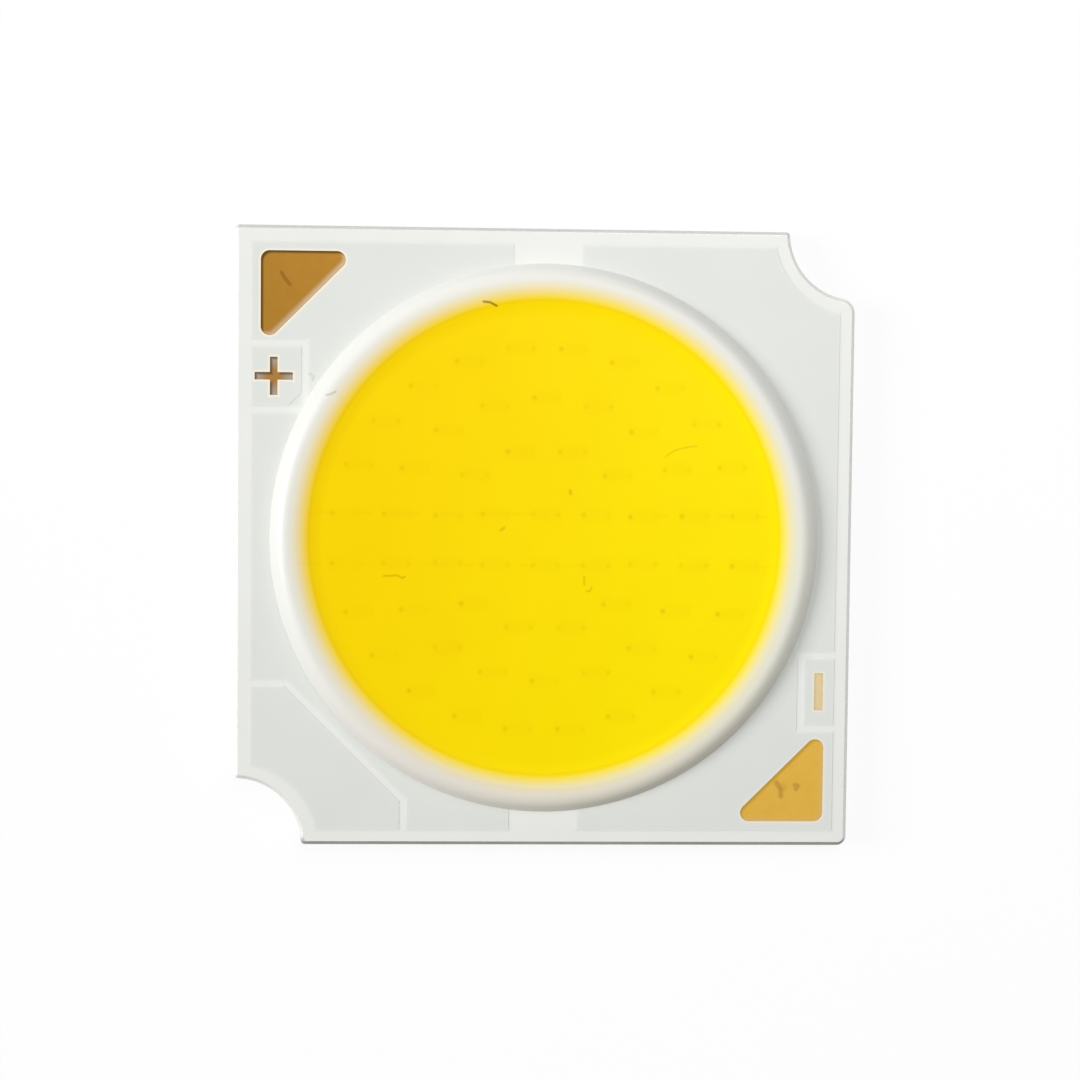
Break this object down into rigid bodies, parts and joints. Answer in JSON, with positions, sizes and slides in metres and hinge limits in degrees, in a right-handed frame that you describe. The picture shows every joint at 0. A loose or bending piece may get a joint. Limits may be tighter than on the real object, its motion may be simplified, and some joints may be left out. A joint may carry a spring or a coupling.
{
  "type": "cob led",
  "caption": "Square chip-on-board LED: aluminium plate with white mask, corner solder pads, screw notches, and a white dam round a yellow phosphor emitting area.",
  "frame": {"origin": "centre of the aluminium plate's underside", "axes": "+Z out of the emitting face, +X from the positive side to the negative side, +Y towards the edge with the positive pad"},
  "size_m": [0.019, 0.019, 0.0014],
  "materials": {
    "plate_aluminium": "bright rolled sheet, punched edges",
    "insulation": "glass-fibre laminate",
    "copper": "etched foil",
    "gold_plating": "satin gold plating",
    "white_mask": "satin white solder mask",
    "dam_silicone": "smooth white silicone",
    "phosphor_silicone": "smooth yellow phosphor silicone",
    "die_adhesive": "clear adhesive",
    "chip_sapphire": "polished",
    "bond_gold": "drawn wire"
  },
  "bodies": {
    "root": {"base_plate": "plate_aluminium", "insulation_sheet": "insulation", "positive_rail": "copper", "negative_rail": "copper", "plus_island": "copper", "minus_island": "copper", "corner_island": "copper", "positive_pad": "gold_plating", "negative_pad": "gold_plating", "plus_sign": "gold_plating", "minus_sign": "gold_plating", "positive_bond_ledge": "gold_plating", "negative_bond_ledge": "gold_plating", "solder_mask": "white_mask", "dam_ring": "dam_silicone", "phosphor_gel": "phosphor_silicone", "die_attach_1": "die_adhesive", "led_chips_1": "chip_sapphire", "bond_wires_1": "bond_gold", "die_attach_2": "die_adhesive", "led_chips_2": "chip_sapphire", "bond_wires_2": "bond_gold", "die_attach_3": "die_adhesive", "led_chips_3": "chip_sapphire", "bond_wires_3": "bond_gold", "die_attach_4": "die_adhesive", "led_chips_4": "chip_sapphire", "bond_wires_4": "bond_gold"}
  },
  "joints": []
}
